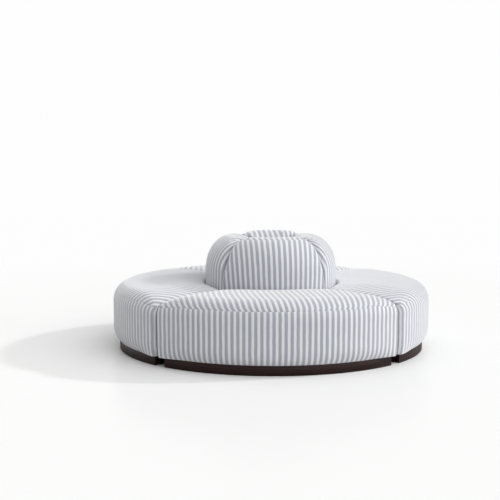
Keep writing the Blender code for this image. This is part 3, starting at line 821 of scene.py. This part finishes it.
def wood(name, light, dark, roughness, stretch, place):
    """Wood with its grain drawn out along one way."""
    g = Graph(name)
    source = g.node("ShaderNodeTexCoord").outputs["Object"]
    if place == "UV":
        source = g.node("ShaderNodeUVMap", uv_map="wood").outputs["UV"]
    source = g.stretched(source, stretch)
    grain, figure = g.noise(source, WOOD_GRAIN), g.noise(source, WOOD_FIGURE)
    grain_part = g.calc("MULTIPLY", grain, WOOD_GRAIN_SHARE)
    share = g.calc("ADD", grain_part, g.calc("MULTIPLY", figure, WOOD_FIGURE_SHARE))
    rough = g.node("ShaderNodeMapRange")
    g.put(rough.inputs["Value"], figure)
    for socket, stray in zip(("To Min", "To Max"), ROUGHNESS_STRAYS):
        rough.inputs[socket].default_value = roughness + stray
    g.put(g.shader.inputs["Roughness"], rough.outputs["Result"])
    colour = g.mix(g.smooth(share, *WOOD_RANGE), dark, light)
    return g.finished(colour, g.bump(grain, WOOD_RELIEF), WOOD_FINISH)


# Assembly

def place_piece(name, mesh, module, angle, nodes):
    """A piece turned into its module's place, riding with that module and standing for its nodes."""
    obj = bpy.data.objects.new(name, mesh)
    obj.rotation_euler = (0.0, 0.0, math.radians(angle))
    bpy.context.scene.collection.objects.link(obj)
    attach(obj, module + "_module")
    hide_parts(*nodes)
    return obj


def thicken(obj):
    """Give a cover the thickness of its cloth, inwards."""
    shell = obj.modifiers.new("cloth thickness", "SOLIDIFY")
    shell.thickness = CLOTH_THICKNESS
    shell.offset = -1.0


def upholstery():
    """The covers of every module."""
    cloth = striped_cloth()
    seat, back = seat_block(), back_block()
    for number, (module, angle) in enumerate(MODULES):
        seat_fit = Fit(SEAT_STRIPE_STARTS[module], SEAT_SEED + number,
                       SEAT_LIFTS[module], SEAT_DRAWS[module], NO_DIP)
        back_fit = Fit(BACK_STRIPE_START, BACK_SEED + number, BACK_LIFTS[module], NO_DRAWS, BACK_DIPS[module])
        covers = {"seat": block_mesh("seat_cloth", seat, seat_fit),
                  "back": block_mesh("back_cloth", back, back_fit)}
        for part, mesh in covers.items():
            mesh.materials.append(cloth)
            nodes = (f"{module}_{part}_cover", f"{module}_{part}_foam")
            obj = place_piece(f"{module}_{part}_upholstery", mesh, module, angle, nodes)
            thicken(obj)


def plinths():
    """The plinth boards of every module."""
    stained = wood("stained_plinth", PLINTH_LIGHT, PLINTH_DARK, PLINTH_ROUGHNESS, PLINTH_STRETCH, "UV")
    meshes = plinth_meshes()
    for mesh in meshes.values():
        mesh.materials.append(stained)
    for module, angle in MODULES:
        for part, mesh in meshes.items():
            place_piece(f"{module}_{part}_wood", mesh, module, angle, (f"{module}_{part}",))


def hidden_boards():
    """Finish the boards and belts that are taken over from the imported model."""
    plywood = wood("plywood", PLYWOOD_LIGHT, PLYWOOD_DARK, PLYWOOD_ROUGHNESS, PLYWOOD_STRETCH, "Object")
    belts = belt_material()
    for name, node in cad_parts.items():
        finish = belts if name.endswith("webbing") else plywood
        node.data.materials.clear()
        node.data.materials.append(finish)


# Studio

def studio_floor():
    """A pale, faintly glossy floor that fades to white with distance."""
    bpy.ops.mesh.primitive_plane_add(size=2 * FLOOR_HALF)
    floor = bpy.context.object
    floor.name = "studio_floor"
    g = Graph("studio_floor")
    g.tree.nodes.remove(g.shader)
    output = g.tree.nodes["Material Output"]
    seen = g.node("ShaderNodeLightPath").outputs["Is Camera Ray"]
    diffuse = g.node("ShaderNodeBsdfDiffuse")
    g.put(diffuse.inputs["Color"], g.mix(seen, FLOOR_BOUNCE_COLOUR, FLOOR_COLOUR))
    gloss = g.node("ShaderNodeBsdfGlossy")
    gloss.inputs["Roughness"].default_value = FLOOR_GLOSS_ROUGHNESS
    shine = g.node("ShaderNodeMixShader")
    shine.inputs["Fac"].default_value = FLOOR_GLOSS_SHARE
    g.put(shine.inputs[1], diffuse.outputs[0])
    g.put(shine.inputs[2], gloss.outputs[0])
    white = g.node("ShaderNodeEmission")
    white.inputs["Color"].default_value = FLOOR_WHITE
    place = g.node("ShaderNodeTexCoord").outputs["Object"]
    length = g.node("ShaderNodeVectorMath", operation="LENGTH")
    g.put(length.inputs[0], place)
    far = g.calc("MULTIPLY", g.smooth(length.outputs["Value"], *FLOOR_FADE), seen)
    fade = g.node("ShaderNodeMixShader")
    g.put(fade.inputs["Fac"], far)
    g.put(fade.inputs[1], shine.outputs[0])
    g.put(fade.inputs[2], white.outputs[0])
    g.put(output.inputs["Surface"], fade.outputs[0])
    floor.data.materials.append(g.material)


def sky():
    """A white backdrop for the camera and in reflections, and soft light from all round."""
    world = bpy.data.worlds.new("studio")
    bpy.context.scene.world = world
    world.use_nodes = True
    tree = world.node_tree
    tree.nodes.clear()
    path = tree.nodes.new("ShaderNodeLightPath")
    seen = tree.nodes.new("ShaderNodeMath")
    seen.operation = "MAXIMUM"
    tree.links.new(path.outputs["Is Camera Ray"], seen.inputs[0])
    tree.links.new(path.outputs["Is Glossy Ray"], seen.inputs[1])
    soft = tree.nodes.new("ShaderNodeBackground")
    soft.inputs["Strength"].default_value = SKY_STRENGTH
    white = tree.nodes.new("ShaderNodeBackground")
    white.inputs["Color"].default_value = SKY_WHITE
    mix = tree.nodes.new("ShaderNodeMixShader")
    output = tree.nodes.new("ShaderNodeOutputWorld")
    tree.links.new(seen.outputs[0], mix.inputs["Fac"])
    tree.links.new(soft.outputs[0], mix.inputs[1])
    tree.links.new(white.outputs[0], mix.inputs[2])
    tree.links.new(mix.outputs[0], output.inputs["Surface"])


def distant_lamp(name, azimuth, elevation, spread, strength):
    """A far lamp: its place about the sofa from +X, its height and its spread, all in degrees."""
    lamp = bpy.data.lights.new(name, "SUN")
    lamp.angle = math.radians(spread)
    lamp.energy = strength
    obj = bpy.data.objects.new(name, lamp)
    obj.rotation_euler = (0.0, math.radians(90.0 - elevation), math.radians(azimuth))
    bpy.context.scene.collection.objects.link(obj)


def camera():
    """The photograph's view."""
    lens = bpy.data.cameras.new("camera")
    lens.lens = CAMERA_LENS
    lens.sensor_width = SENSOR_WIDTH
    obj = bpy.data.objects.new("camera", lens)
    obj.location = CAMERA_PLACE
    obj.rotation_euler = [math.radians(angle) for angle in CAMERA_TURN_DEGREES]
    bpy.context.scene.collection.objects.link(obj)
    bpy.context.scene.camera = obj


bpy.context.scene.view_settings.view_transform = "Standard"
upholstery()
plinths()
hidden_boards()
studio_floor()
sky()
for lamp_settings in LAMPS:
    distant_lamp(*lamp_settings)
camera()
